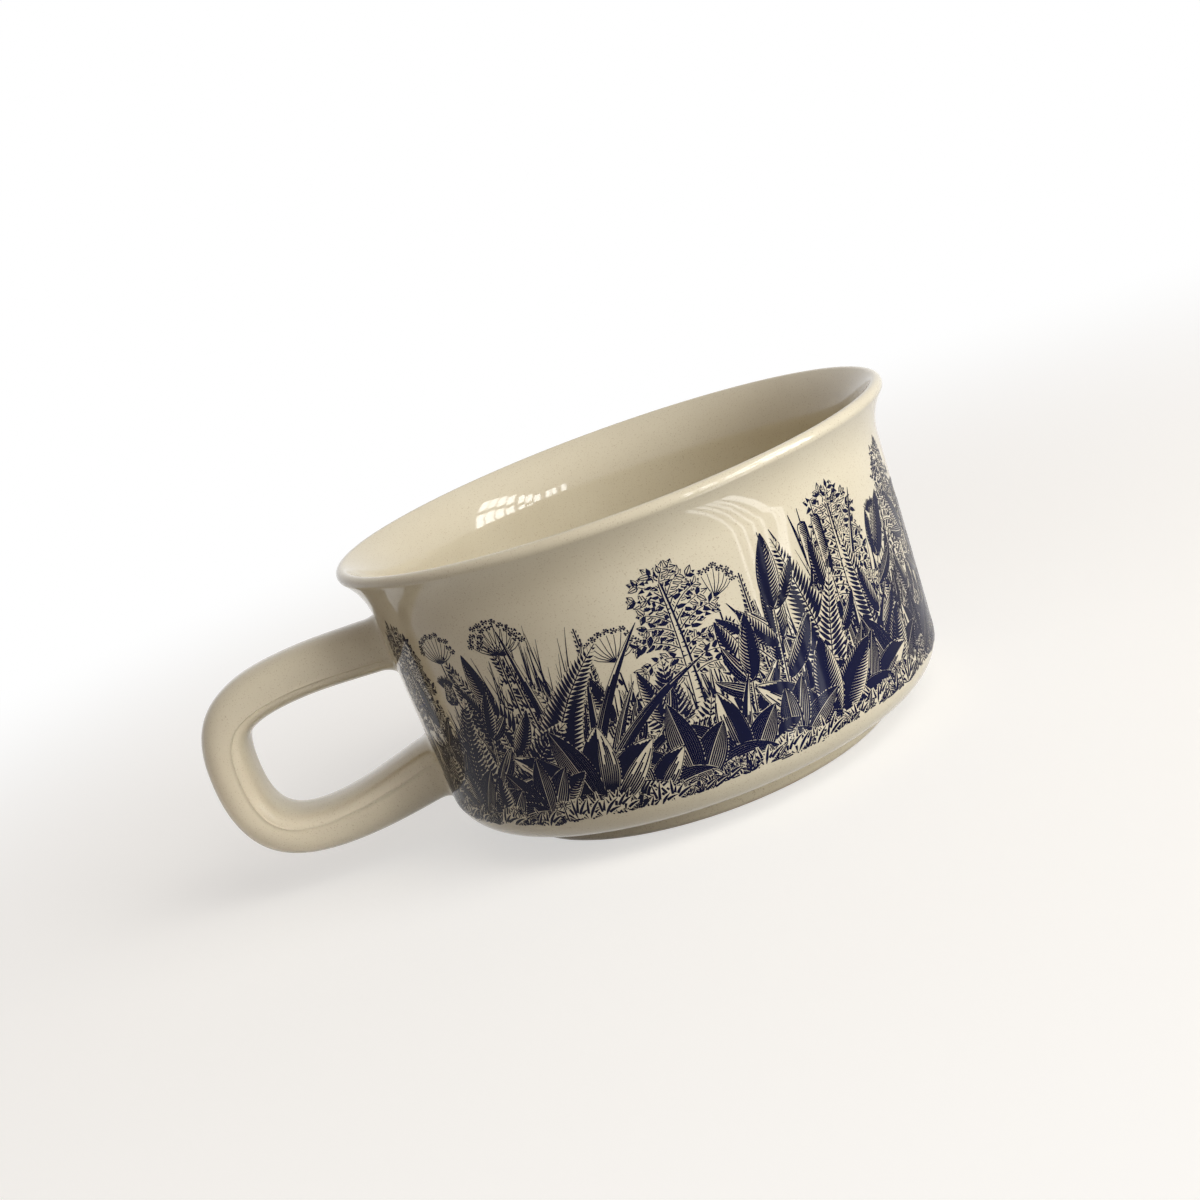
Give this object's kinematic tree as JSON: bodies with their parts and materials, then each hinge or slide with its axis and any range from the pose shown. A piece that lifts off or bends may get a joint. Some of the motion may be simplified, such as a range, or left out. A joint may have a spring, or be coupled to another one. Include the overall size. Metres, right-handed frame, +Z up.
{
  "type": "soup mug",
  "caption": "Wide low stoneware soup mug with a flared lip, a recessed foot ring and one D-shaped strap handle, for drinking or eating soup.",
  "frame": {"origin": "centre of the foot ring's flat standing face, on the bowl's axis", "axes": "+Z up along the bowl's axis, -X towards the handle, and the handle lies in the XZ plane"},
  "size_m": [0.1567, 0.116, 0.0635],
  "materials": {
    "glazed_stoneware": "glossy warm ivory glaze with a fine speckle, navy line print on the wall",
    "glazed_slip": "the same ivory glaze pooled over the joining slip"
  },
  "bodies": {
    "root": {"bowl": "glazed_stoneware", "foot_ring": "glazed_stoneware", "handle": "glazed_stoneware", "upper_slip_joint": "glazed_slip", "lower_slip_joint": "glazed_slip"}
  },
  "joints": []
}
